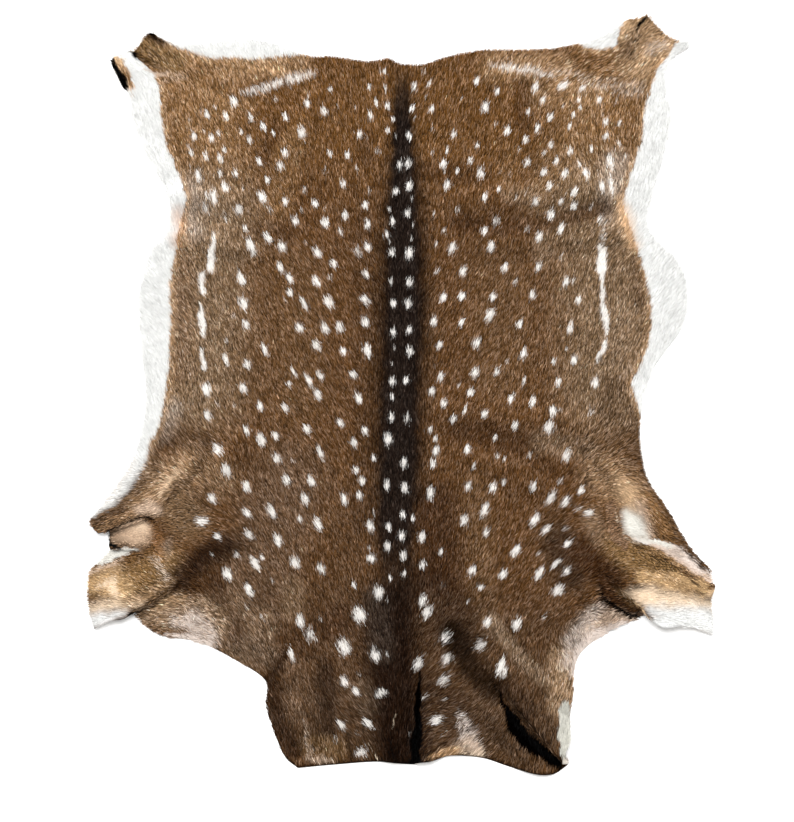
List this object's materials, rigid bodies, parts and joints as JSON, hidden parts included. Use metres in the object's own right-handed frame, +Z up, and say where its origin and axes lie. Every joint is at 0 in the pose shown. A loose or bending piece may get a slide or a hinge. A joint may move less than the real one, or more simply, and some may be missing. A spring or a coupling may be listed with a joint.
{
  "type": "deerskin rug",
  "caption": "Spotted deer hide with its hair on, laid flat as a rug, with four short leg ends, a broad neck end and soft folds.",
  "frame": {"origin": "centre of the hide's footprint, on the floor that it lies on", "axes": "+Z up, away from the floor; +Y along the spine from the neck end to the tail end; +X to the right seen from above with the tail end away from the viewer"},
  "size_m": [0.8771, 1.0671, 0.0299],
  "materials": {
    "hide": "tanned skin under a short brown coat with white spots, a black back stripe, white belly margins and tan legs"
  },
  "bodies": {
    "root": {"hide": "hide"}
  },
  "joints": []
}
